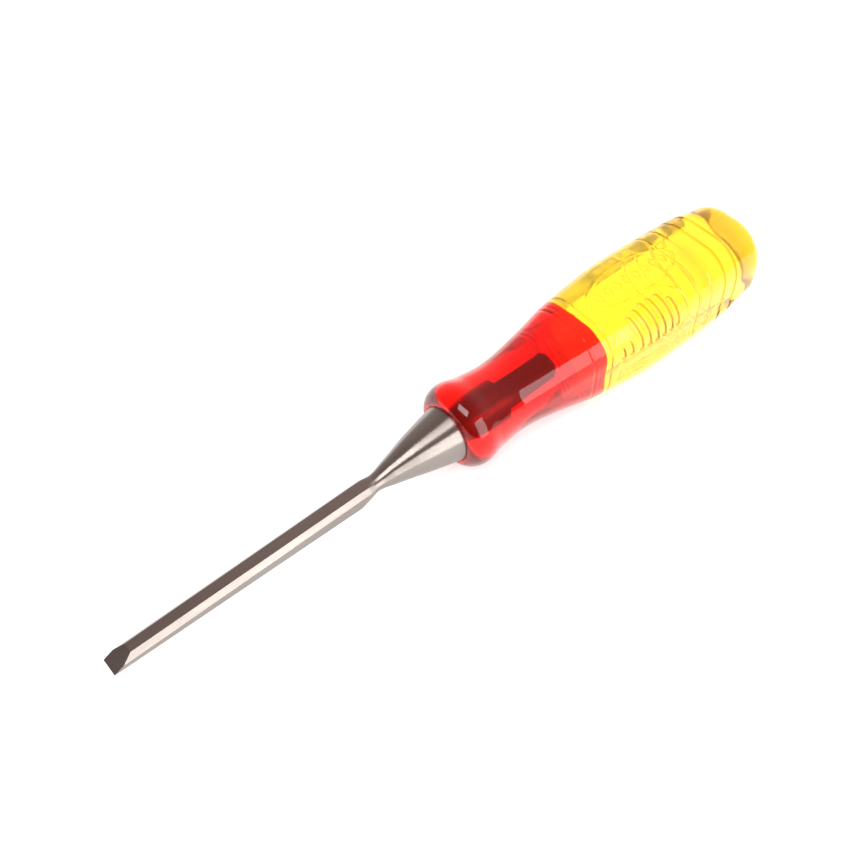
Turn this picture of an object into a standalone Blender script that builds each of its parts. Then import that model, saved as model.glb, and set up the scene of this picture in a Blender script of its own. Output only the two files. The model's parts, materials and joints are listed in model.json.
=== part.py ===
# Bench chisel: one steel forging held in a two-colour moulded handle.
# Lengths are in metres. Each piece is built with x running from the cutting
# edge to the butt, y across the blade and z up from the blade's flat back.
import math

import bmesh
import bpy
from mathutils import Matrix, Vector

mm = 0.001

# Blade
blade_width = 6.0 * mm
shoulder_width = 6.3 * mm
blade_length = 82.0 * mm
tip_thickness = 3.1 * mm
shoulder_thickness = 5.4 * mm
side_bevel_height = 1.55 * mm
tip_flat_width = 3.2 * mm
shoulder_flat_width = 3.7 * mm
grind_angle = math.radians(27.0)
grind_waste = 0.5 * mm

# Neck and bolster
neck_length = 6.6 * mm
neck_radius = 2.85 * mm
neck_flare = 5.8 * mm
neck_flare_radius = 4.0 * mm
bolster_length = 22.0 * mm
bolster_radius = 9.2 * mm
bolster_crown = 0.35 * mm
bolster_edge = 0.3 * mm
axis_height = 3.6 * mm
neck_height = 3.3 * mm

# Tang
tang_root_radius = 4.6 * mm
tang_root_length = 18.6 * mm
tang_width = 5.6 * mm
tang_tip_width = 4.8 * mm
tang_flatness = 0.78
tang_length = 22.0 * mm
tang_chamfer = 1.6 * mm
tang_squareness = 0.7

# Handle outline, measured from the handle's nose
lip_wall = 0.4 * mm
bulb_at = 6.0 * mm
bulb_radius = 14.05 * mm
bulb_tail_at = 12.0 * mm
bulb_tail_radius = 12.8 * mm
waist_at = 22.5 * mm
waist_radius = 11.85 * mm
flare_at = 38.0 * mm
flare_radius = 13.2 * mm
joint_at = 51.8 * mm
joint_radius = 15.15 * mm

# The rest of the outline, measured from the joint between the mouldings
belly_behind = 25.2 * mm
belly_radius = 16.75 * mm
back_behind = 54.2 * mm
back_radius = 16.3 * mm
butt_edge_behind = 67.7 * mm
butt_edge_radius = 15.7 * mm
butt_rounding = 6.7 * mm
butt_dome = 0.5 * mm
round_until = 16.0 * mm
joint_squareness = 0.3
belly_squareness = 0.37
back_squareness = 0.33
butt_squareness = 0.15

# Grooves round the handle: distance from the joint, width, depth
front_groove_ahead = 3.2 * mm
front_groove_width = 1.2 * mm
front_groove_depth = 0.35 * mm
joint_groove_behind = 2.2 * mm
joint_groove_width = 0.9 * mm
joint_groove_depth = 0.3 * mm
fine_ring_behind = 39.7 * mm
fine_ring_pitch = 5.9 * mm
fine_ring_width = 0.8 * mm
fine_ring_depth = 0.25 * mm
deep_ring_behind = 52.4 * mm
deep_ring_pitch = 5.7 * mm
deep_ring_width = 1.2 * mm
deep_ring_depth = 0.6 * mm

# Finger grooves on one upper corner
finger_groove_count = 8
finger_groove_behind = 7.2 * mm
finger_groove_pitch = 3.2 * mm
finger_groove_width = 1.5 * mm
finger_groove_depth = 0.5 * mm
finger_groove_turn = math.radians(34.0)
finger_groove_corner = math.radians(145.0)

# Joint between the two mouldings, and running gaps
spigot_radius = 9.3 * mm
tang_tip_gap = 1.5 * mm
tang_pocket = 2.2 * mm
seat_depth = 0.8 * mm
fit_gap = 0.3 * mm

# Mesh
handle_points = 48
back_steps = 8
side_steps = 5
bevel_steps = 3
top_steps = 7
rounding_steps = 5
front_step = 3.2 * mm
rear_step = 3.6 * mm
groove_clearance = 0.8
blade_steps = 6
neck_steps = 4
flare_steps = 2
cone_steps = 5
slope_steps = 60
dome_rings = (0.66, 0.3)
smooth_angle = math.radians(28.0)

# Places along the chisel that follow from the sizes above
neck_at = blade_length + neck_length
cone_at = neck_at + neck_flare
nose_at = cone_at + bolster_length
seat_at = nose_at + seat_depth
root_end = seat_at + tang_root_length
tang_end = root_end + tang_length
spigot_front = tang_end + tang_tip_gap
bore = tang_root_radius + fit_gap
seat = bolster_radius + fit_gap
lip_radius = seat + lip_wall
belly_at = joint_at + belly_behind
back_at = joint_at + back_behind
butt_edge_at = joint_at + butt_edge_behind
front_groove_at = joint_at - front_groove_ahead
joint_groove_at = joint_at + joint_groove_behind
fine_ring_at = joint_at + fine_ring_behind
deep_ring_at = joint_at + deep_ring_behind
finger_groove_at = joint_at + finger_groove_behind


def clear_scene():
    for old in list(bpy.data.objects):
        bpy.data.objects.remove(old, do_unlink=True)


def mix(a, b, share):
    return a + (b - a) * share


def ease(share):
    share = max(0.0, min(1.0, share))
    return share * share * (3.0 - 2.0 * share)


def smooth_through(stations, at):
    """Height at one place of a smooth curve through (place, height) pairs."""
    slopes = [0.0]
    for before, here, after in zip(stations, stations[1:], stations[2:]):
        left = (here[1] - before[1]) / (here[0] - before[0])
        right = (after[1] - here[1]) / (after[0] - here[0])
        slopes.append(0.0 if left * right <= 0.0 else 2.0 * left * right / (left + right))
    last, end = stations[-2:]
    slopes.append((end[1] - last[1]) / (end[0] - last[0]))
    for i, (low, high) in enumerate(zip(stations, stations[1:])):
        if at <= high[0] or high is stations[-1]:
            span = high[0] - low[0]
            u = (at - low[0]) / span
            start = low[1] * (2 * u**3 - 3 * u**2 + 1) + slopes[i] * span * (u**3 - 2 * u**2 + u)
            finish = high[1] * (3 * u**2 - 2 * u**3) + slopes[i + 1] * span * (u**3 - u**2)
            return start + finish


outline = [
    (bulb_at, bulb_radius),
    (bulb_tail_at, bulb_tail_radius),
    (waist_at, waist_radius),
    (flare_at, flare_radius),
    (joint_at, joint_radius),
    (belly_at, belly_radius),
    (back_at, back_radius),
    (butt_edge_at, butt_edge_radius),
]
squarer = [
    (round_until, 0.0),
    (joint_at, joint_squareness),
    (belly_at, belly_squareness),
    (back_at, back_squareness),
    (butt_edge_at, butt_squareness),
]


def handle_radius(along):
    """Half the width of the handle's section at a distance from the nose."""
    if along < bulb_at:
        rise = math.sqrt(1.0 - (1.0 - along / bulb_at) ** 2)
        return mix(lip_radius, bulb_radius, rise)
    return smooth_through(outline, along)


def squareness(along):
    """0 for a round section, nearer 1 for a squarer one."""
    return smooth_through(squarer, max(along, round_until))


def square_reach(turn, half, square):
    """Distance from the centre to a rounded square, in the direction turn."""
    straight = half * square
    corner = half - straight
    across = abs(math.cos(turn))
    up = abs(math.sin(turn))
    across, up = max(across, up), min(across, up)
    if up * half <= straight * across:
        return half / across
    centre = straight * (across + up)
    return centre + math.sqrt(max(0.0, centre**2 - 2.0 * straight**2 + corner**2))


def groove_share(distance, width):
    """1 on a groove's flat floor, 0 outside it, with sloping walls between."""
    inside = 1.0 - abs(distance) / (width / 2.0)
    return max(0.0, min(1.0, inside * 2.0))


def grooves_of(centres, width, depth):
    return [(centre, width, depth) for centre in centres]


front_grooves = grooves_of([front_groove_at], front_groove_width, front_groove_depth)
rear_grooves = (
    grooves_of([joint_groove_at], joint_groove_width, joint_groove_depth)
    + grooves_of([fine_ring_at, fine_ring_at + fine_ring_pitch], fine_ring_width, fine_ring_depth)
    + grooves_of([deep_ring_at, deep_ring_at + deep_ring_pitch], deep_ring_width, deep_ring_depth)
)
finger_grooves = grooves_of(
    [finger_groove_at + i * finger_groove_pitch for i in range(finger_groove_count)],
    finger_groove_width,
    finger_groove_depth,
)


def finger_share(turn, along):
    """How much of a finger groove's depth is cut at one place round the handle."""
    middle = finger_groove_at + (finger_groove_count - 1) * finger_groove_pitch / 2.0
    run = (finger_groove_count + 1) * finger_groove_pitch / 2.0
    reach = finger_groove_turn * math.sqrt(max(0.0, 1.0 - ((along - middle) / run) ** 2))
    return 1.0 - ease(abs(turn - finger_groove_corner) / reach) if reach > 0.0 else 0.0


def handle_loop(along, grooves, fingers):
    """One section of the handle, with whatever grooves cross it."""
    half = handle_radius(along)
    square = squareness(along)
    cut = sum(depth * groove_share(along - at, width) for at, width, depth in grooves)
    loop = []
    for i in range(handle_points):
        turn = 2.0 * math.pi * i / handle_points
        reach = square_reach(turn, half, square) - cut
        for at, width, depth in fingers:
            reach -= depth * groove_share(along - at, width) * finger_share(turn, at)
        y = reach * math.cos(turn)
        z = axis_height + reach * math.sin(turn)
        loop.append(Vector((nose_at + along, y, z)))
    return loop


def ring_loop(x, radius):
    """A plain circle on the handle's axis."""
    loop = []
    for i in range(handle_points):
        turn = 2.0 * math.pi * i / handle_points
        y = radius * math.cos(turn)
        z = axis_height + radius * math.sin(turn)
        loop.append(Vector((x, y, z)))
    return loop


def places(start, end, step, grooves):
    """Section places from start to end, with extra ones at each groove."""
    count = max(1, round((end - start) / step))
    plain = [mix(start, end, i / count) for i in range(count + 1)]
    cuts = []
    for at, width, _ in grooves:
        cuts += [at - width / 2.0, at - width / 4.0, at + width / 4.0, at + width / 2.0]
    clear = [
        p for p in plain
        if p in (start, end) or all(abs(p - at) > width * groove_clearance for at, width, _ in grooves)
    ]
    return sorted(clear + [c for c in cuts if start < c < end])


def loft(name, loops, ring):
    """Extrudes a closed edge loop through each section; ring joins last to first."""
    bm = bmesh.new()
    made = bmesh.ops.create_circle(bm, cap_ends=False, segments=len(loops[0]), radius=1.0)
    verts = made["verts"]
    for vert, place in zip(verts, loops[0]):
        vert.co = place
    first = list(verts)
    rows = loops[1:] + [loops[0]] if ring else loops[1:]
    for row in rows:
        edges = [bm.edges.get((a, b)) for a, b in zip(verts, verts[1:] + verts[:1])]
        grown = bmesh.ops.extrude_edge_only(bm, edges=edges)["geom"]
        new = {v for v in grown if isinstance(v, bmesh.types.BMVert)}
        verts = [next(e.other_vert(v) for e in v.link_edges if e.other_vert(v) in new) for v in verts]
        for vert, place in zip(verts, row):
            vert.co = place
    if ring:
        bmesh.ops.remove_doubles(bm, verts=first + verts, dist=0.001 * mm)
    else:
        for end in (first, verts):
            edges = [bm.edges.get((a, b)) for a, b in zip(end, end[1:] + end[:1])]
            bmesh.ops.contextual_create(bm, geom=edges)
    bmesh.ops.recalc_face_normals(bm, faces=bm.faces)
    return finish_mesh(name, bm)


def finish_mesh(name, bm):
    mesh = bpy.data.meshes.new(name)
    bm.to_mesh(mesh)
    bm.free()
    mesh.shade_smooth()
    mesh.set_sharp_from_angle(angle=smooth_angle)
    piece = bpy.data.objects.new(name, mesh)
    bpy.context.scene.collection.objects.link(piece)
    return piece


def blade_loop(x):
    """The bevelled section of the blade: flat back, two sides, two bevels, top."""
    share = x / blade_length
    half = mix(blade_width, shoulder_width, share) / 2.0
    thick = mix(tip_thickness, shoulder_thickness, share)
    top = mix(tip_flat_width, shoulder_flat_width, share) / 2.0
    side = thick - side_bevel_height
    corners = [(-half, 0.0), (half, 0.0), (half, side), (top, thick), (-top, thick), (-half, side)]
    steps = [back_steps, side_steps, bevel_steps, top_steps, bevel_steps, side_steps]
    loop = []
    for i, count in enumerate(steps):
        here = corners[i]
        there = corners[(i + 1) % len(corners)]
        for k in range(count):
            y = mix(here[0], there[0], k / count)
            z = mix(here[1], there[1], k / count)
            loop.append(Vector((x, y, z)))
    return loop


shoulder_loop = blade_loop(blade_length)
steel_turns = [math.atan2(p.z - neck_height, p.y) for p in shoulder_loop]


def steel_loop(x, radius, height, square=0.0, flat=1.0):
    """A section of the bolster or tang with the blade's number of points."""
    loop = []
    for turn in steel_turns:
        reach = square_reach(turn, radius, square)
        y = reach * math.cos(turn)
        z = height + reach * math.sin(turn) * flat
        loop.append(Vector((x, y, z)))
    return loop


def blade_and_tang():
    """The forging: blade, neck, conical bolster, round root and flat tang."""
    loops = [
        blade_loop(mix(-grind_waste, blade_length, i / blade_steps)) for i in range(blade_steps + 1)
    ]
    neck = steel_loop(neck_at, neck_radius, neck_height)
    for i in range(1, neck_steps + 1):
        x = mix(blade_length, neck_at, i / neck_steps)
        blend = ease(i / neck_steps)
        loops.append([
            Vector((x, mix(a.y, b.y, blend), mix(a.z, b.z, blend)))
            for a, b in zip(shoulder_loop, neck)
        ])
    for i in range(1, flare_steps + 1):
        share = i / flare_steps
        radius = mix(neck_radius, neck_flare_radius, share)
        height = mix(neck_height, axis_height, ease(share))
        loops.append(steel_loop(mix(neck_at, cone_at, share), radius, height))
    for i in range(1, cone_steps + 1):
        share = i / cone_steps
        x = mix(cone_at, nose_at - bolster_edge, share)
        crown = 4.0 * bolster_crown * share * (1.0 - share)
        loops.append(steel_loop(x, mix(neck_flare_radius, bolster_radius, share) + crown, axis_height))
    loops.append(steel_loop(seat_at, bolster_radius, axis_height))
    loops.append(steel_loop(seat_at, tang_root_radius, axis_height))
    loops.append(steel_loop(root_end - bolster_edge, tang_root_radius, axis_height))
    loops.append(steel_loop(root_end, tang_root_radius - bolster_edge, axis_height))
    half = tang_width / 2.0
    tip = tang_tip_width / 2.0
    loops.append(steel_loop(root_end, half, axis_height, tang_squareness, tang_flatness))
    loops.append(steel_loop(tang_end - tang_chamfer, tip, axis_height, tang_squareness, tang_flatness))
    loops.append(steel_loop(tang_end, tip - tang_chamfer / 2.0, axis_height, tang_squareness, tang_flatness))
    piece = loft("blade_and_tang", loops, ring=False)

    bm = bmesh.new()
    bm.from_mesh(piece.data)
    cut = bmesh.ops.bisect_plane(
        bm,
        geom=list(bm.verts) + list(bm.edges) + list(bm.faces),
        dist=0.0001 * mm,
        plane_co=(0.0, 0.0, 0.0),
        plane_no=(-math.sin(grind_angle), 0.0, math.cos(grind_angle)),
        clear_outer=True,
    )
    rim = [e for e in cut["geom_cut"] if isinstance(e, bmesh.types.BMEdge)]
    bmesh.ops.contextual_create(bm, geom=rim)
    bmesh.ops.recalc_face_normals(bm, faces=bm.faces)
    bm.to_mesh(piece.data)
    bm.free()
    piece.data.shade_smooth()
    piece.data.set_sharp_from_angle(angle=smooth_angle)
    return piece


def front_grip():
    """The red moulding: nose bulb, waist, socket for the tang, recess behind."""
    recess = spigot_radius + fit_gap
    recess_floor = spigot_front - fit_gap
    nose = [bulb_at * (1.0 - math.cos(math.pi / 2.0 * i / rounding_steps)) for i in range(rounding_steps)]
    along = nose + places(bulb_at, joint_at, front_step, front_grooves)
    loops = [handle_loop(a, front_grooves, []) for a in along]
    loops.append(ring_loop(nose_at + joint_at, recess))
    loops.append(ring_loop(recess_floor, recess))
    loops.append(ring_loop(recess_floor, bore))
    loops.append(ring_loop(seat_at + fit_gap, bore))
    loops.append(ring_loop(seat_at + fit_gap, seat))
    loops.append(ring_loop(nose_at, seat))
    return loft("front_grip", loops, ring=True)


def rear_grip():
    """The yellow moulding: spigot, grooved grip and rounded butt."""
    front = joint_at + fit_gap
    loops = [
        ring_loop(spigot_front + tang_pocket, bore),
        ring_loop(spigot_front, bore),
        ring_loop(spigot_front, spigot_radius),
        ring_loop(nose_at + front, spigot_radius),
    ]
    all_grooves = rear_grooves + finger_grooves
    along = places(front, butt_edge_at, rear_step, all_grooves)
    loops += [handle_loop(a, rear_grooves, finger_grooves) for a in along]
    edge = handle_radius(butt_edge_at)
    for i in range(1, rounding_steps + 1):
        swing = math.pi / 2.0 * i / rounding_steps
        inset = butt_rounding * (1.0 - math.cos(swing))
        x = nose_at + butt_edge_at + butt_rounding * math.sin(swing)
        share = (edge - inset) / edge
        centre = Vector((x, 0.0, axis_height))
        rim = handle_loop(butt_edge_at, [], [])
        loops.append([centre + Vector((0.0, p.y * share, (p.z - axis_height) * share)) for p in rim])
    rim = loops[-1]
    for share in dome_rings:
        rise = butt_dome * (1.0 - share**2)
        loops.append([
            Vector((p.x + rise, p.y * share, axis_height + (p.z - axis_height) * share)) for p in rim
        ])
    return loft("rear_grip", loops, ring=False)


def paint(piece, name, colour, metallic, roughness, clear):
    material = bpy.data.materials.new(name)
    material.use_nodes = True
    shader = material.node_tree.nodes["Principled BSDF"]
    shader.inputs["Base Color"].default_value = (*colour, 1.0)
    shader.inputs["Metallic"].default_value = metallic
    shader.inputs["Roughness"].default_value = roughness
    shader.inputs["Transmission Weight"].default_value = clear
    piece.data.materials.append(material)


def lay_on_bench(pieces):
    """Tilts the chisel until nose bulb and belly both touch, then centres it."""
    slope = 0.0
    for i in range(1, slope_steps + 1):
        along = mix(waist_at, butt_edge_at, i / slope_steps)
        drop = handle_radius(along) - bulb_radius
        slope = max(slope, drop / (along - bulb_at))
    tilt = Matrix.Rotation(-math.atan(slope), 4, "Y")
    corners = [tilt @ v.co for piece in pieces for v in piece.data.vertices]
    low = Vector([min(c[i] for c in corners) for i in range(3)])
    high = Vector([max(c[i] for c in corners) for i in range(3)])
    rest = bpy.data.objects.new("bench_rest", None)
    bpy.context.scene.collection.objects.link(rest)
    rest.rotation_euler = (0.0, -math.atan(slope), 0.0)
    rest.location = (-(low.x + high.x) / 2.0, -(low.y + high.y) / 2.0, -low.z)
    for piece in pieces:
        piece.parent = rest


clear_scene()
steel = blade_and_tang()
front = front_grip()
rear = rear_grip()
paint(steel, "tool_steel", (0.56, 0.54, 0.52), 1.0, 0.3, 0.0)
paint(front, "red_clear_plastic", (0.75, 0.02, 0.03), 0.0, 0.1, 0.6)
paint(rear, "yellow_clear_plastic", (0.95, 0.72, 0.05), 0.0, 0.1, 0.6)
lay_on_bench([steel, front, rear])
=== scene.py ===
import json
import math

import bmesh
import bpy
import numpy as np
from mathutils import Matrix, Quaternion, Vector


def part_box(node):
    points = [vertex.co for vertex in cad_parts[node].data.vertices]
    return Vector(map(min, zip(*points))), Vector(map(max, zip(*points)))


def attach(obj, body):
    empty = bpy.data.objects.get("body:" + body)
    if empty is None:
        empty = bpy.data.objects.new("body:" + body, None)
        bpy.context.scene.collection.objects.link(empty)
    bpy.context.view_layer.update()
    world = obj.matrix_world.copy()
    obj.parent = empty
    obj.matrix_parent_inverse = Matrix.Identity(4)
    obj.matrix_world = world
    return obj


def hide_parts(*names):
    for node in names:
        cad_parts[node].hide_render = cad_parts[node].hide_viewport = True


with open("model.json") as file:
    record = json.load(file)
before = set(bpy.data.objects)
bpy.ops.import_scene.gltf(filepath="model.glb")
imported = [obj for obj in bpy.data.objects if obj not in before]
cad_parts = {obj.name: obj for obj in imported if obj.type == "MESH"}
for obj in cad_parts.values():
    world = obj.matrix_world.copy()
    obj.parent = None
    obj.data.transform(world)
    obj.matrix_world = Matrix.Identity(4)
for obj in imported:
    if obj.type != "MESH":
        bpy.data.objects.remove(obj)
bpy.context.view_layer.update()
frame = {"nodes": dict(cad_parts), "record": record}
scene = bpy.context.scene
mm = 0.001
sharpFrom = math.radians(35)  # moulded edges steeper than this stay crisp
patternSpan = (0.3, 0.7)  # nearly all of a noise pattern lies between these

# The flat back is a mount in the record: a point on it and the way it faces.
flatBack = frame["record"]["mounts"][0]
backFacing = Vector(flatBack["axis"])
rise = math.atan2(backFacing.x, -backFacing.z)
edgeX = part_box("blade_and_tang")[0].x
alongBack = (flatBack["pos_m"][0] - edgeX) / math.cos(rise)
edgeZ = flatBack["pos_m"][2] - alongBack * math.sin(rise)
chiselLay = Matrix.Translation((edgeX, 0.0, edgeZ)) @ Matrix.Rotation(-rise, 4, "Y")
toChisel = chiselLay.inverted()


def spanOf(node):
    # how far a CAD node reaches along the chisel
    places = [(toChisel @ v.co).x for v in frame["nodes"][node].data.vertices]
    return min(places), max(places)


tangEnd = spanOf("blade_and_tang")[1]
noseAt, redEnd = spanOf("front_grip")
spigotAt, buttEnd = spanOf("rear_grip")
print("frame read: nose at", round(noseAt / mm, 2), "mm, butt at", round(buttEnd / mm, 2), "mm")


def mix(a, b, share):
    return a + (b - a) * share


def ease(share):
    share = np.clip(share, 0.0, 1.0)
    return share * share * (3.0 - 2.0 * share)


def smoothThrough(stations, at):
    # height of a smooth curve through (place, height) pairs, with no overshoot
    slopes = [0.0]
    for before, here, after in zip(stations, stations[1:], stations[2:]):
        left = (here[1] - before[1]) / (here[0] - before[0])
        right = (after[1] - here[1]) / (after[0] - here[0])
        slopes.append(0.0 if left * right <= 0.0 else 2.0 * left * right / (left + right))
    last, end = stations[-2:]
    slopes.append((end[1] - last[1]) / (end[0] - last[0]))
    for i, (low, high) in enumerate(zip(stations, stations[1:])):
        if at <= high[0] or high is stations[-1]:
            span = high[0] - low[0]
            u = (at - low[0]) / span
            start = low[1] * (2 * u**3 - 3 * u**2 + 1) + slopes[i] * span * (u**3 - 2 * u**2 + u)
            return start + high[1] * (3 * u**2 - 2 * u**3) + slopes[i + 1] * span * (u**3 - u**2)


def layIn(name, rows, ring=False, bonded=(), steep=None):
    # skins rows of points with quads; a ring joins its last row back to its first, and
    # anything else is closed by a fan at each end. bonded names the strips moulded onto a
    # neighbour, steep marks each row's points from 0 to 1 by how steep the relief is there
    count = len(rows[0])
    points = np.concatenate(rows)
    faces = []
    marks = []
    strips = len(rows) if ring else len(rows) - 1
    for r in range(strips):
        a = r * count
        b = ((r + 1) % len(rows)) * count
        for i in range(count):
            j = (i + 1) % count
            faces.append((a + i, a + j, b + j, b + i))
        marks += [1.0 if r in bonded else 0.0] * count
    mesh = bpy.data.meshes.new(name)
    if not ring:
        for r, first in ((-1, 0), (len(rows) - 1, (len(rows) - 1) * count)):
            hub = len(points)
            points = np.vstack([points, points[first:first + count].mean(axis=0)])
            for i in range(count):
                j = (i + 1) % count
                faces.append((first + j, first + i, hub) if r < 0 else (first + i, first + j, hub))
            marks += [1.0 if r in bonded else 0.0] * count
    mesh.from_pydata(points.tolist(), [], faces)
    mark = mesh.attributes.new("bonded", "FLOAT", "FACE")
    mark.data.foreach_set("value", marks)
    if steep is not None:
        falls = np.zeros(len(points))
        falls[:steep.size] = steep.ravel()
        slope = mesh.attributes.new("steep", "FLOAT", "POINT")
        slope.data.foreach_set("value", falls)
    bm = bmesh.new()
    bm.from_mesh(mesh)
    bmesh.ops.recalc_face_normals(bm, faces=bm.faces)
    bm.to_mesh(mesh)
    bm.free()
    mesh.shade_smooth()
    mesh.set_sharp_from_angle(angle=sharpFrom)
    piece = bpy.data.objects.new(name, mesh)
    scene.collection.objects.link(piece)
    return piece


def settle(piece):
    # from the chisel's own frame to where it lies
    piece.data.transform(chiselLay)
    piece.data.update()


# Shader helpers
def newMaterial(name):
    material = bpy.data.materials.new(name)
    material.use_nodes = True
    nodes = material.node_tree.nodes
    return material, nodes, material.node_tree.links, nodes["Principled BSDF"]


def addNode(nodes, kind, **settings):
    node = nodes.new("ShaderNode" + kind)
    for key, value in settings.items():
        if hasattr(node, key):
            setattr(node, key, value)
        else:
            node.inputs[key.replace("_", " ")].default_value = value
    return node


def chiselPlace(nodes, links):
    # a point's place in the chisel's own frame
    where = addNode(nodes, "TexCoord")
    undo = addNode(nodes, "Mapping", vector_type="TEXTURE")
    undo.inputs["Location"].default_value = chiselLay.translation
    undo.inputs["Rotation"].default_value = (0.0, -rise, 0.0)
    links.new(where.outputs["Object"], undo.inputs["Vector"])
    return undo.outputs["Vector"]


def grain(nodes, links, stretch, scale, detail=3.0, roughness=0.5):
    # noise stretched along the chisel's own axes
    squeeze = addNode(nodes, "Mapping")
    squeeze.inputs["Scale"].default_value = stretch
    noise = addNode(nodes, "TexNoise", Scale=scale, Detail=detail, Roughness=roughness)
    links.new(chiselPlace(nodes, links), squeeze.inputs["Vector"])
    links.new(squeeze.outputs["Vector"], noise.inputs["Vector"])
    return noise.outputs["Fac"]


def spread(nodes, links, source, low, high, start=patternSpan[0], end=patternSpan[1]):
    # turns a 0..1 pattern into a value between low and high
    span = addNode(nodes, "MapRange")
    span.inputs["From Min"].default_value = start
    span.inputs["From Max"].default_value = end
    span.inputs["To Min"].default_value = low
    span.inputs["To Max"].default_value = high
    links.new(source, span.inputs["Value"])
    return span.outputs["Result"]


def tint(nodes, links, source, first, second):
    # turns a 0..1 pattern into a colour between the two
    blend = addNode(nodes, "ValToRGB")
    for element, place, colour in zip(blend.color_ramp.elements, patternSpan, (first, second)):
        element.position = place
        element.color = (*colour, 1.0)
    links.new(source, blend.inputs["Fac"])
    return blend.outputs["Color"]


def blendTo(nodes, links, share, under, over):
    # lays a fixed colour over another one where the share is 1
    blend = addNode(nodes, "Mix", data_type="RGBA")
    blend.inputs[7].default_value = (*over, 1.0)
    links.new(share, blend.inputs[0])
    links.new(under, blend.inputs[6])
    return blend.outputs[2]


def relief(nodes, links, source, depth):
    dent = addNode(nodes, "Bump", Strength=1.0, Distance=depth)
    links.new(source, dent.inputs["Height"])
    return dent.outputs["Normal"]


# Steel forging: ground blade, neck, conical bolster and tang
steelShape = {
    "bladeLength": 82.0 * mm,
    "edgeWidth": 6.0 * mm,
    "shoulderWidth": 6.3 * mm,
    "edgeThickness": 3.1 * mm,
    "shoulderThickness": 5.4 * mm,
    "bevelHeight": 1.55 * mm,
    "edgeFlat": 3.2 * mm,
    "shoulderFlat": 3.7 * mm,
    "grindAngle": math.radians(27.0),
    "grindWaste": 0.5 * mm,
    "facePoints": (20, 14, 8, 14, 8, 14),  # back, side, bevel, top, bevel, side
    "bladeSteps": 60,
    "neckLength": 6.6 * mm,
    "neckSteps": 40,
    "bevelsHold": 0.5,
    "backRises": 0.85,
    "neckRadius": 2.85 * mm,
    "neckHeight": 3.0 * mm,
    "neckFlatness": 0.86,
    "flareLength": 5.8 * mm,
    "flareRadius": 4.0 * mm,
    "bolsterRadius": 9.2 * mm,
    "bolsterCrown": 0.2 * mm,
    "bolsterEdge": 0.25 * mm,
    "coneSteps": 80,
    "axisHeight": 3.6 * mm,
    "seatDepth": 0.8 * mm,
    "tangRootRadius": 4.6 * mm,
    "tangRootLength": 18.6 * mm,
    "rootChamfer": 0.4 * mm,
    "tangWidth": 5.6 * mm,
    "tangTipWidth": 4.8 * mm,
    "tangFlatness": 0.78,
    "tangChamfer": 1.6 * mm,
    "tangSquareness": 0.7,
    "sharpFrom": math.radians(20),
}
axisHeight = steelShape["axisHeight"]


def bladeSection(x):
    # flat back, two sides, two bevels and a narrow top
    s = steelShape
    share = x / s["bladeLength"]
    half = mix(s["edgeWidth"], s["shoulderWidth"], share) / 2.0
    thick = mix(s["edgeThickness"], s["shoulderThickness"], share)
    top = mix(s["edgeFlat"], s["shoulderFlat"], share) / 2.0
    side = thick - s["bevelHeight"]
    corners = [(-half, 0.0), (half, 0.0), (half, side), (top, thick), (-top, thick), (-half, side)]
    points = []
    for i, count in enumerate(s["facePoints"]):
        here = corners[i]
        there = corners[(i + 1) % len(corners)]
        for k in range(count):
            points.append((x, mix(here[0], there[0], k / count), mix(here[1], there[1], k / count)))
    return np.array(points)


def squareReach(turns, half, square):
    # from the centre to a rounded square of that half width, for each turn
    straight = half * square
    corner = half - straight
    across = np.abs(np.cos(turns))
    up = np.abs(np.sin(turns))
    major = np.maximum(across, up)
    minor = np.minimum(across, up)
    centre = straight * (major + minor)
    rounded = centre + np.sqrt(np.maximum(0.0, centre**2 - 2.0 * straight**2 + corner**2))
    return np.where(minor * half <= straight * major, half / major, rounded)


def roundSection(x, radius, height, turns, square=0.0, flat=1.0):
    reach = squareReach(turns, radius, square)
    return np.column_stack([
        np.full(len(turns), x), reach * np.cos(turns), height + reach * np.sin(turns) * flat
    ])


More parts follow.
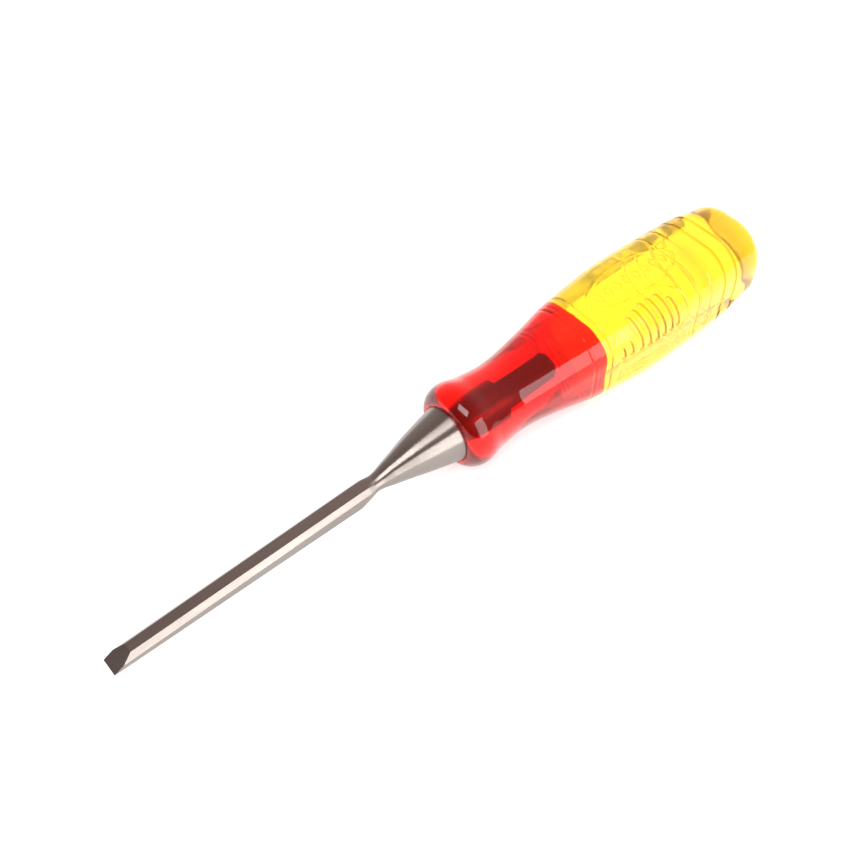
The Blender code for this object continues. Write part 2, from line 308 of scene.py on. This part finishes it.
def makeSteel():
    s = steelShape
    shoulder = bladeSection(s["bladeLength"])
    around = np.arctan2(shoulder[:, 2] - s["neckHeight"], shoulder[:, 1])
    neckAt = s["bladeLength"] + s["neckLength"]
    flareEnd = neckAt + s["flareLength"]
    seatAt = noseAt + s["seatDepth"]
    rootEnd = seatAt + s["tangRootLength"]
    count = s["bladeSteps"]
    rows = [bladeSection(mix(-s["grindWaste"], s["bladeLength"], i / count)) for i in range(count + 1)]
    neck = roundSection(neckAt, s["neckRadius"], s["neckHeight"], around, 0.0, s["neckFlatness"])
    upSide = np.clip(shoulder[:, 2] / (s["shoulderThickness"] - s["bevelHeight"]), 0.0, 1.0)
    for i in range(1, s["neckSteps"] + 1):
        # the back rises first, and the bevels run out late into the round neck
        share = i / s["neckSteps"]
        late = ease((share - s["bevelsHold"]) / (1.0 - s["bevelsHold"]))
        blend = mix(mix(late, share, s["backRises"]), late, upSide)[:, None]
        blended = mix(shoulder, neck, blend)
        blended[:, 0] = mix(s["bladeLength"], neckAt, share)
        rows.append(blended)
    last = noseAt - s["bolsterEdge"]
    middle = mix(s["flareRadius"], s["bolsterRadius"], 0.5) + s["bolsterCrown"]
    cone = [
        (neckAt, s["neckRadius"]),
        (flareEnd, s["flareRadius"]),
        (mix(flareEnd, last, 0.5), middle),
        (last, s["bolsterRadius"]),
    ]
    for i in range(1, s["coneSteps"] + 1):
        # the cone's axis is level with the handle's from half way on
        share = i / s["coneSteps"]
        x = mix(neckAt, last, share)
        height = mix(s["neckHeight"], axisHeight, min(1.0, 2.0 * share))
        flat = mix(s["neckFlatness"], 1.0, min(1.0, (x - neckAt) / (flareEnd - neckAt)))
        rows.append(roundSection(x, smoothThrough(cone, x), height, around, 0.0, flat))
    root = s["tangRootRadius"]
    for x, radius in (
        (seatAt, s["bolsterRadius"]),
        (seatAt, root),
        (rootEnd - s["rootChamfer"], root),
        (rootEnd, root - s["rootChamfer"]),
    ):
        rows.append(roundSection(x, radius, axisHeight, around))
    tip = s["tangTipWidth"] / 2.0
    for x, half in (
        (rootEnd, s["tangWidth"] / 2.0),
        (tangEnd - s["tangChamfer"], tip),
        (tangEnd, tip - s["tangChamfer"] / 2.0),
    ):
        rows.append(roundSection(x, half, axisHeight, around, s["tangSquareness"], s["tangFlatness"]))
    steel = layIn("steel_forging", rows)

    # the cutting bevel is ground across the end
    bm = bmesh.new()
    bm.from_mesh(steel.data)
    everything = list(bm.verts) + list(bm.edges) + list(bm.faces)
    grind = (-math.sin(s["grindAngle"]), 0.0, math.cos(s["grindAngle"]))
    cut = bmesh.ops.bisect_plane(
        bm, geom=everything, dist=1e-7, plane_co=(0.0, 0.0, 0.0), plane_no=grind, clear_outer=True)
    rim = [e for e in cut["geom_cut"] if isinstance(e, bmesh.types.BMEdge)]
    bmesh.ops.contextual_create(bm, geom=rim)
    bmesh.ops.recalc_face_normals(bm, faces=bm.faces)
    bm.to_mesh(steel.data)
    bm.free()
    steel.data.shade_smooth()
    steel.data.set_sharp_from_angle(angle=s["sharpFrom"])
    return steel


steelLook = {
    "ground": (0.36, 0.323, 0.298),
    "groundDark": (0.31, 0.272, 0.247),
    "scale": (0.09, 0.08, 0.075),
    "roughness": (0.26, 0.34),
    "smear": 0.94,
    "streaks": {"stretch": (0.04, 1.0, 1.0), "scale": 2600.0, "detail": 4.0, "roughness": 0.6},
    "streakDepth": 0.004 * mm,
    "cloud": {"stretch": (0.3, 1.0, 1.0), "scale": 90.0},
    "scaleStarts": (0.3 * mm, 0.6 * mm),
}


def steelMaterial():
    material, nodes, links, shader = newMaterial("tool_steel_ground")
    streaks = grain(nodes, links, **steelLook["streaks"])
    cloud = grain(nodes, links, **steelLook["cloud"])
    bright = tint(nodes, links, cloud, steelLook["groundDark"], steelLook["ground"])
    # the tang keeps its forge scale
    split = addNode(nodes, "SeparateXYZ")
    links.new(chiselPlace(nodes, links), split.inputs["Vector"])
    start, end = (noseAt + inside for inside in steelLook["scaleStarts"])
    buried = spread(nodes, links, split.outputs["X"], 0.0, 1.0, start, end)
    coloured = blendTo(nodes, links, buried, bright, steelLook["scale"])
    links.new(coloured, shader.inputs["Base Color"])
    links.new(spread(nodes, links, streaks, *steelLook["roughness"]), shader.inputs["Roughness"])
    links.new(relief(nodes, links, streaks, steelLook["streakDepth"]), shader.inputs["Normal"])
    shader.inputs["Metallic"].default_value = 1.0
    # lights smear out along the chisel
    shader.inputs["Anisotropic"].default_value = steelLook["smear"]
    lengthways = addNode(nodes, "CombineXYZ", X=math.cos(rise), Z=math.sin(rise))
    links.new(lengthways.outputs["Vector"], shader.inputs["Tangent"])
    return material


# Handle outline, from the nose. A pair is a place along it and the half width there.
handleShape = {
    "bulbAt": 6.0 * mm,
    "bulb": 14.05 * mm,
    "bulbTail": (12.0 * mm, 12.8 * mm),
    "waist": (22.5 * mm, 11.85 * mm),
    "flare": (38.0 * mm, 13.2 * mm),
    "joint": 15.15 * mm,
    "belly": (77.0 * mm, 16.75 * mm),
    "back": (106.0 * mm, 16.3 * mm),
    "buttEdge": (119.5 * mm, 15.7 * mm),
    "lip": 9.9 * mm,
    "roundUntil": 16.0 * mm,
    "squareness": (0.3, 0.37, 0.33, 0.15),  # at the joint, belly, back and butt edge
    "buttRounding": 6.7 * mm,
    "points": 336,
}
jointAt = redEnd - noseAt
fitGap = 0.3 * mm
outline = [
    (handleShape["bulbAt"], handleShape["bulb"]),
    handleShape["bulbTail"],
    handleShape["waist"],
    handleShape["flare"],
    (jointAt, handleShape["joint"]),
    handleShape["belly"],
    handleShape["back"],
    handleShape["buttEdge"],
]
turns = np.linspace(0.0, 2.0 * math.pi, handleShape["points"], endpoint=False)


def handleHalf(along):
    h = handleShape
    if along < h["bulbAt"]:
        lift = math.sqrt(max(0.0, 1.0 - (1.0 - along / h["bulbAt"]) ** 2))
        return mix(h["lip"], h["bulb"], lift)
    return smoothThrough(outline, along)


def squarenessAt(along):
    roundUntil = handleShape["roundUntil"]
    places = [place for place, half in outline[-4:]]
    stations = [(roundUntil, 0.0), *zip(places, handleShape["squareness"])]
    return smoothThrough(stations, max(along, roundUntil))


seamWave = {
    "height": 0.22 * mm,
    "fade": 2.5 * mm,
    "ripples": ((3, 0.9, 1.0), (7, 2.1, 0.5), (13, 0.4, 0.25)),  # waves in a turn, start, share
}


def waveAt(along):
    # the two colours meet in a slightly uneven line, which fades out away from the joint
    fade = float(ease(1.0 - abs(along - jointAt) / seamWave["fade"]))
    ripple = sum(share * np.sin(count * turns + start) for count, start, share in seamWave["ripples"])
    return seamWave["height"] * fade * ripple


def handleSection(along, cut=0.0):
    reach = squareReach(turns, handleHalf(along), squarenessAt(along)) - cut
    return np.column_stack([
        noseAt + along + waveAt(along), reach * np.cos(turns), axisHeight + reach * np.sin(turns)
    ])


def ringSection(x, radius):
    return roundSection(x, radius, axisHeight, turns)


def groove(along, at, width, depth):
    # a rounded groove that runs right round
    away = np.abs(along - at) / (width / 2.0)
    return depth * (0.5 + 0.5 * np.cos(math.pi * np.minimum(away, 1.0)))


# Red front moulding. A groove is its place, width and depth.
redShape = {
    "grooves": ((47.6 * mm, 1.1 * mm, 0.22 * mm), (49.3 * mm, 0.7 * mm, 0.12 * mm)),
    "spigot": 9.3 * mm,
    "seat": 9.5 * mm,
    "bore": 4.9 * mm,
    "bulbSteps": 24,
    "step": 0.4 * mm,
}


def makeRed():
    r = redShape
    bulbAt = handleShape["bulbAt"]
    swings = [math.pi / 2.0 * i / r["bulbSteps"] for i in range(r["bulbSteps"])]
    alongs = [bulbAt * (1.0 - math.cos(swing)) for swing in swings]
    count = round((jointAt - bulbAt) / r["step"])
    alongs += [mix(bulbAt, jointAt, i / count) for i in range(count + 1)]
    rows = [handleSection(a, sum(groove(a, *g) for g in r["grooves"])) for a in alongs]
    outer = len(rows)
    seatFloor = noseAt + steelShape["seatDepth"] + fitGap
    recess = r["spigot"] + fitGap
    rows.append(ringSection(redEnd, recess))
    rows.append(ringSection(spigotAt - fitGap, recess))
    rows.append(ringSection(spigotAt - fitGap, r["bore"]))
    rows.append(ringSection(seatFloor, r["bore"]))
    rows.append(ringSection(seatFloor, r["seat"]))
    rows.append(ringSection(noseAt, r["seat"]))
    return layIn("red_front_moulding", rows, ring=True, bonded=range(outer - 1, outer + 4))


# Yellow rear moulding
yellowShape = {
    "spigot": 9.3 * mm,
    "pocket": 2.2 * mm,
    "rings": (
        (54.0 * mm, 0.9 * mm, 0.26 * mm),
        (91.5 * mm, 0.8 * mm, 0.22 * mm),
        (97.4 * mm, 0.8 * mm, 0.22 * mm),
        (104.2 * mm, 1.3 * mm, 0.55 * mm),
        (109.9 * mm, 1.3 * mm, 0.55 * mm),
    ),
    "step": 0.25 * mm,
    "roundingSteps": 16,
    "dome": 0.5 * mm,
    "domeRings": (0.9, 0.8, 0.66, 0.5, 0.3, 0.1),
    "steepest": 0.9,
}
fingerSlots = {
    "first": 58.6 * mm,
    "pitch": 3.2 * mm,
    "lean": 4.0 * mm,  # a slot runs back by this much in one radian round the handle
    "tops": [150, 148, 125, 122, 120, 120, 121, 130],  # degrees round the handle
    "bottoms": [167, 168, 169, 170, 170, 170, 169, 168],
    "width": 1.7 * mm,
    "depth": 0.55 * mm,
    "wall": 0.32 * mm,
}
fingerField = {
    "middle": 71.0 * mm,
    "length": 15.5 * mm,
    "turn": 150,  # degrees round the handle
    "sweep": 41,
    "depth": 0.14 * mm,
    "edge": 0.4 * mm,
}
oval = {
    "middle": 75.8 * mm,
    "length": 17.6 * mm,
    "height": 6.9 * mm,
    "line": 0.28 * mm,
    "depth": 0.16 * mm,
    "clearOfRings": 0.5 * mm,
}
lozenges = {
    "count": 8,
    "pitch": 3.9 * mm,
    "length": 1.45 * mm,
    "height": 2.6 * mm,
    "rim": 0.8,  # a rim runs at this share of the length and height
    "line": 0.26 * mm,
    "depth": 0.16 * mm,
}
sidePanel = {
    "from": 57.0 * mm,
    "to": 112.0 * mm,
    "endEdge": 0.8 * mm,
    "turns": (184, 198),  # degrees round the handle
    "depth": 0.16 * mm,
    "edge": 0.35 * mm,
    "margin": 1.2 * mm,
    "ribs": 30,
    "pitch": 1.0 * mm,
    "ribHeight": 0.14 * mm,
}


def step(inside, soft):
    # 0 outside an edge, 1 inside it, where inside is a depth past the edge
    return ease(inside / soft + 0.5)


def slotCut(along):
    f = fingerSlots
    radius = handleHalf(along)
    cut = np.zeros(len(turns))
    for i, (top, bottom) in enumerate(zip(f["tops"], f["bottoms"])):
        at = f["first"] + i * f["pitch"]
        if abs(along - at) > f["width"] + f["lean"]:
            continue
        away = turns - math.radians((top + bottom) / 2.0)
        run = math.radians(bottom - top) / 2.0 * radius - f["width"] / 2.0
        past = np.maximum(np.abs(away) * radius - run, 0.0)
        depthIn = f["width"] / 2.0 - np.hypot(along - at - away * f["lean"], past)
        cut = np.maximum(cut, f["depth"] * step(depthIn, f["wall"]))
    return cut


def fieldCut(along):
    # a shallow lens-shaped field round the finger slots
    f = fingerField
    away = (along - f["middle"]) / f["length"]
    turned = turns - math.radians(f["turn"])
    inside = 1.0 - np.hypot(away, turned / math.radians(f["sweep"]))
    return f["depth"] * step(inside * f["length"], f["edge"])


def ovalCut(along):
    # the line of an oval on top, round a row of lozenges
    o = oval
    away = turns - math.pi / 2.0
    across = away * handleHalf(along)
    inside = 1.0 - np.hypot((along - o["middle"]) / o["length"], across / o["height"])
    cut = o["depth"] * step(o["line"] - np.abs(inside) * o["height"], o["line"])
    z = lozenges
    row = (z["count"] - 1) / 2.0
    near = round((along - o["middle"]) / z["pitch"] + row)
    if 0 <= near < z["count"]:
        off = abs(along - o["middle"] - (near - row) * z["pitch"]) / z["length"]
        rim = np.abs(off + np.abs(across) / z["height"] - z["rim"]) * z["length"]
        cut = cut + z["depth"] * step(z["line"] - rim, z["line"])
    return cut


def panelCut(along):
    # a long shallow panel down one side, with fine ribs
    p = sidePanel
    low, high = (math.radians(t) for t in p["turns"])
    radius = handleHalf(along)
    ends = step(min(along - p["from"], p["to"] - along), p["endEdge"])
    inside = np.minimum(turns - low, high - turns) * radius
    cut = p["depth"] * ends * step(inside, p["edge"])
    start = p["from"] + p["margin"]
    if start < along < start + p["ribs"] * p["pitch"]:
        beat = 0.5 - 0.5 * math.cos(2.0 * math.pi * (along - start) / p["pitch"])
        cut = cut - p["ribHeight"] * beat * step(inside - p["margin"] / 2.0, p["edge"])
    return cut


def yellowCut(along):
    # the oval's line fades out where it would meet a ring
    rings = yellowShape["rings"]
    nearest = min(abs(along - at) - width / 2.0 for at, width, depth in rings)
    cut = ovalCut(along) * ease(nearest / oval["clearOfRings"])
    cut = cut + slotCut(along) + fieldCut(along) + panelCut(along)
    return cut + sum(groove(along, *ring) for ring in rings)


def makeYellow():
    y = yellowShape
    h = handleShape
    front = jointAt + fitGap
    buttEdge = h["buttEdge"][0]
    count = round((buttEdge - front) / y["step"])
    alongs = [mix(front, buttEdge, i / count) for i in range(count + 1)]
    rows = [
        ringSection(spigotAt + y["pocket"], redShape["bore"]),
        ringSection(spigotAt, redShape["bore"]),
        ringSection(spigotAt, y["spigot"]),
        ringSection(noseAt + front, y["spigot"]),
    ]
    inner = len(rows)
    cuts = np.array([yellowCut(a) for a in alongs])
    rows += [handleSection(a, cut) for a, cut in zip(alongs, cuts)]
    fallAlong = np.gradient(cuts, alongs[1] - alongs[0], axis=0)
    fallRound = np.gradient(cuts, h["belly"][1] * turns[1], axis=1)
    # how steep the relief is, which sets where painted shade goes on its walls
    walls = np.clip(np.hypot(fallAlong, fallRound) / y["steepest"], 0.0, 1.0)
    rim = handleSection(buttEdge)
    middle = np.array([0.0, 0.0, axisHeight])
    rounding = h["buttRounding"]
    half = handleHalf(buttEdge)
    for i in range(1, y["roundingSteps"] + 1):
        swing = math.pi / 2.0 * i / y["roundingSteps"]
        share = (half - rounding * (1.0 - math.cos(swing))) / half
        loop = middle + (rim - middle) * share
        loop[:, 0] = noseAt + buttEdge + rounding * math.sin(swing)
        rows.append(loop)
    flat = rows[-1]
    for share in y["domeRings"]:
        loop = middle + (flat - middle) * share
        loop[:, 0] = flat[0, 0] + y["dome"] * (1.0 - share**2)
        rows.append(loop)
    steep = np.zeros((len(rows), len(turns)))
    steep[inner:inner + len(walls)] = walls
    return layIn("yellow_rear_moulding", rows, bonded=range(inner), steep=steep)


redLook = {
    "tint": (1.0, 0.04, 0.012),
    # painted shade colour for the walls of moulded relief
    "edges": (0.8, 0.04, 0.02),
    "taken": (9.0, 105.0, 112.0),  # how much of each colour is lost per metre
    "clear": 0.97,
    "bends": 1.4,
    "haze": (0.09, 0.13),
}
yellowLook = {
    "tint": (1.0, 0.93, 0.12),
    # painted shade colour for the walls of moulded relief
    "edges": (0.55, 0.3, 0.04),
    # painted shade: a deeper amber painted just before the butt
    "paintedAmber": (0.82, 0.52, 0.06),
    "paintedAmberBand": (108.0 * mm, 115.0 * mm, 124.0 * mm),  # starts, is deepest, ends
    "taken": (0.5, 5.5, 62.0),
    "clear": 0.88,
    "bends": 1.27,
    "haze": (0.07, 0.11),
}
skinLook = {
    "bends": 1.46,
    "polish": 0.015,
    "uneven": 0.97,
    "cloud": {"stretch": (1.0, 1.0, 1.0), "scale": 140.0},
    "waves": {"stretch": (0.5, 1.0, 1.0), "scale": 60.0, "detail": 1.0},
    "waveHeight": 0.03 * mm,
}


def clearPlastic(name, look):
    material, nodes, links, shader = newMaterial(name)
    haze = grain(nodes, links, **skinLook["cloud"])
    darker = tuple(c * skinLook["uneven"] for c in look["tint"])
    body = tint(nodes, links, haze, darker, look["tint"])
    if "paintedAmberBand" in look:
        # painted shade: the colour is painted deepest just before the butt, where light runs a longer
        # way through the domed end
        split = addNode(nodes, "SeparateXYZ")
        links.new(chiselPlace(nodes, links), split.inputs["Vector"])
        start, middle, end = (noseAt + along for along in look["paintedAmberBand"])
        rising = spread(nodes, links, split.outputs["X"], 0.0, 1.0, start, middle)
        falling = spread(nodes, links, split.outputs["X"], 1.0, 0.0, middle, end)
        amberShare = addNode(nodes, "Math", operation="MULTIPLY")
        links.new(rising, amberShare.inputs[0])
        links.new(falling, amberShare.inputs[1])
        body = blendTo(nodes, links, amberShare.outputs[0], body, look["paintedAmber"])
    # painted shade: the walls of moulded relief are painted a little darker than the rest
    walls = addNode(nodes, "Attribute", attribute_name="steep")
    wallShaded = blendTo(nodes, links, walls.outputs["Fac"], body, look["edges"])
    links.new(wallShaded, shader.inputs["Base Color"])
    links.new(spread(nodes, links, haze, *look["haze"]), shader.inputs["Roughness"])
    shader.inputs["Transmission Weight"].default_value = look["clear"]
    shader.inputs["Specular Tint"].default_value = (0.0, 0.0, 0.0, 1.0)  # the skin alone shines
    shader.inputs["Coat Weight"].default_value = 1.0
    shader.inputs["Coat IOR"].default_value = skinLook["bends"]
    shader.inputs["Coat Roughness"].default_value = skinLook["polish"]
    shader.inputs["IOR"].default_value = look["bends"]
    # no bending of light where a moulding is bonded to its neighbour
    mark = addNode(nodes, "Attribute", attribute_name="bonded")
    bend = spread(nodes, links, mark.outputs["Fac"], look["bends"], 1.0, 0.0, 1.0)
    links.new(bend, shader.inputs["IOR"])
    waves = grain(nodes, links, **skinLook["waves"])
    swell = relief(nodes, links, waves, skinLook["waveHeight"])
    links.new(swell, shader.inputs["Normal"])
    links.new(swell, shader.inputs["Coat Normal"])
    depth = addNode(nodes, "VolumeAbsorption")
    most = max(look["taken"])
    depth.inputs["Color"].default_value = (*[1.0 - t / most for t in look["taken"]], 1.0)
    depth.inputs["Density"].default_value = most
    links.new(depth.outputs["Volume"], nodes["Material Output"].inputs["Volume"])
    return material


steel = makeSteel()
red = makeRed()
yellow = makeYellow()
print("meshes made:", sum(len(p.data.polygons) for p in (steel, red, yellow)), "faces")
steel.data.materials.append(steelMaterial())
red.data.materials.append(clearPlastic("red_clear", redLook))
yellow.data.materials.append(clearPlastic("yellow_clear", yellowLook))
for piece, node, slotName in (
    (steel, "blade_and_tang", "tool_steel"),
    (red, "front_grip", "red_clear_plastic"),
    (yellow, "rear_grip", "yellow_clear_plastic"),
):
    settle(piece)
    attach(piece, "root")
    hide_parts(node)
print("pieces coloured and laid down")

# Studio
studio = {
    "camera": Vector((-0.1514, -0.1640, 0.2796)),
    "looks": Vector((0.4136, 0.4897, -0.7675)),
    "roll": math.radians(0.8),
    "lens": 48.48,
    "filmWidth": 36.0,
    "nearest": 0.01,
    "floorReach": 1.2,
    "card": (0.78, 0.77, 0.77),
    "cardRoughness": 0.9,
    "cardShine": 0.1,
    "cardGlow": (1.0, 0.99, 0.985),
    "overhead": {"at": Vector((-0.44, -0.12, 1.0)), "size": (0.60, 0.46), "watts": 6.2},
    "window": {"at": Vector((0.12, -1.0, 0.42)), "size": (0.80, 0.86), "watts": 9.0},
    "room": (0.86, 0.855, 0.85),
    "floorGlow": 0.45,
    "glowMirrored": 0.16,
    "glowThrough": 0.85,
    "throughPlastic": 1.6,
    "backdrop": 1.17,
    "brighterAhead": 0.75,
    "sidesMeet": 0.2,
    "shadesNear": (  # from the horizon up to straight overhead
        (0.0, (0.9, 0.88, 0.87)),
        (0.01, (0.2, 0.175, 0.16)),
        (0.16, (0.2, 0.175, 0.16)),
        (0.45, (0.46, 0.40, 0.38)),
        (0.60, (0.5, 0.39, 0.38)),
        (1.0, (0.33, 0.26, 0.25)),
    ),
    "shadesFar": (
        (0.0, (0.7, 0.68, 0.67)),
        (0.15, (0.5, 0.46, 0.44)),
        (0.45, (0.48, 0.42, 0.40)),
        (0.62, (0.5, 0.39, 0.38)),
        (1.0, (0.38, 0.30, 0.285)),
    ),
}


def softbox(name, spec):
    light = bpy.data.lights.new(name, "AREA")
    light.shape = "RECTANGLE"
    light.size, light.size_y = spec["size"]
    light.energy = spec["watts"]
    lamp = bpy.data.objects.new(name, light)
    scene.collection.objects.link(lamp)
    lamp.location = spec["at"]
    lamp.rotation_mode = "QUATERNION"
    lamp.rotation_quaternion = (-spec["at"]).to_track_quat("-Z", "Y")
    lamp.visible_camera = False


def reflectedRay(nodes, links):
    # 1 for light mirrored from a surface, 0 for all else
    path = addNode(nodes, "LightPath")
    outside = addNode(nodes, "Math", operation="SUBTRACT")
    outside.inputs[0].default_value = 1.0
    links.new(path.outputs["Is Transmission Ray"], outside.inputs[1])
    bounced = addNode(nodes, "Math", operation="MULTIPLY")
    links.new(path.outputs["Is Glossy Ray"], bounced.inputs[0])
    links.new(outside.outputs[0], bounced.inputs[1])
    return bounced.outputs[0]


def makeFloor():
    reach = studio["floorReach"]
    mesh = bpy.data.meshes.new("floor")
    corners = [(-reach, -reach, 0.0), (reach, -reach, 0.0), (reach, reach, 0.0), (-reach, reach, 0.0)]
    mesh.from_pydata(corners, [], [(0, 1, 2, 3)])
    floor = bpy.data.objects.new("floor", mesh)
    scene.collection.objects.link(floor)
    material, nodes, links, shader = newMaterial("pale_card")
    shader.inputs["Base Color"].default_value = (*studio["card"], 1.0)
    shader.inputs["Roughness"].default_value = studio["cardRoughness"]
    shader.inputs["Specular IOR Level"].default_value = studio["cardShine"]
    shader.inputs["Emission Color"].default_value = (*studio["cardGlow"], 1.0)
    # the card glows a little, as on a light table, least in what is mirrored
    path = addNode(nodes, "LightPath")
    glow = spread(nodes, links, path.outputs["Is Transmission Ray"], studio["floorGlow"],
                  studio["glowThrough"], 0.0, 1.0)
    choose = addNode(nodes, "Mix")
    choose.inputs[3].default_value = studio["glowMirrored"]
    links.new(reflectedRay(nodes, links), choose.inputs[0])
    links.new(glow, choose.inputs[2])
    links.new(choose.outputs[0], shader.inputs["Emission Strength"])
    floor.data.materials.append(material)


def makeWorld():
    # mirrored light sees a dim studio, shaded by height; all else is lit by an even pale room
    world = bpy.data.worlds.new("studio")
    scene.world = world
    world.use_nodes = True
    world.cycles.sampling_method = "NONE"
    nodes = world.node_tree.nodes
    links = world.node_tree.links
    where = addNode(nodes, "TexCoord")
    split = addNode(nodes, "SeparateXYZ")
    links.new(where.outputs["Generated"], split.inputs["Vector"])
    sides = []
    for shades in (studio["shadesNear"], studio["shadesFar"]):
        height = addNode(nodes, "ValToRGB")
        ramp = height.color_ramp
        for element, (place, shade) in zip(ramp.elements, (shades[0], shades[-1])):
            element.position = place
            element.color = (*shade, 1.0)
        for place, shade in shades[1:-1]:
            ramp.elements.new(place).color = (*shade, 1.0)
        links.new(split.outputs["Z"], height.inputs["Fac"])
        sides.append(height.outputs["Color"])
    facing = addNode(nodes, "Mix", data_type="RGBA")
    meet = studio["sidesMeet"]
    links.new(spread(nodes, links, split.outputs["Y"], 0.0, 1.0, -meet, meet), facing.inputs[0])
    links.new(sides[0], facing.inputs[6])
    links.new(sides[1], facing.inputs[7])
    mirrored = nodes["Background"]
    links.new(facing.outputs[2], mirrored.inputs["Color"])
    ahead = spread(nodes, links, split.outputs["X"], 1.0 - studio["brighterAhead"],
                   1.0 + studio["brighterAhead"], -1.0, 1.0)
    links.new(ahead, mirrored.inputs["Strength"])
    room = addNode(nodes, "Background")
    room.inputs["Color"].default_value = (*studio["room"], 1.0)
    path = addNode(nodes, "LightPath")
    through = spread(nodes, links, path.outputs["Is Transmission Ray"], 1.0,
                     studio["throughPlastic"], 0.0, 1.0)
    seen = spread(nodes, links, path.outputs["Is Camera Ray"], 0.0, studio["backdrop"] - 1.0, 0.0, 1.0)
    strength = addNode(nodes, "Math", operation="ADD")
    links.new(through, strength.inputs[0])
    links.new(seen, strength.inputs[1])
    links.new(strength.outputs[0], room.inputs["Strength"])
    choose = addNode(nodes, "MixShader")
    links.new(reflectedRay(nodes, links), choose.inputs[0])
    links.new(room.outputs[0], choose.inputs[1])
    links.new(mirrored.outputs[0], choose.inputs[2])
    links.new(choose.outputs[0], nodes["World Output"].inputs["Surface"])


makeFloor()
makeWorld()
softbox("overhead", studio["overhead"])
softbox("window", studio["window"])

camera = bpy.data.objects.new("camera", bpy.data.cameras.new("camera"))
scene.collection.objects.link(camera)
camera.data.lens = studio["lens"]
camera.data.sensor_width = studio["filmWidth"]
camera.data.clip_start = studio["nearest"]
camera.location = studio["camera"]
camera.rotation_mode = "QUATERNION"
facing = studio["looks"].to_track_quat("-Z", "Y")
camera.rotation_quaternion = facing @ Quaternion((0.0, 0.0, 1.0), studio["roll"])
bpy.context.scene.camera = camera
scene.view_settings.view_transform = "Standard"
print("studio set")
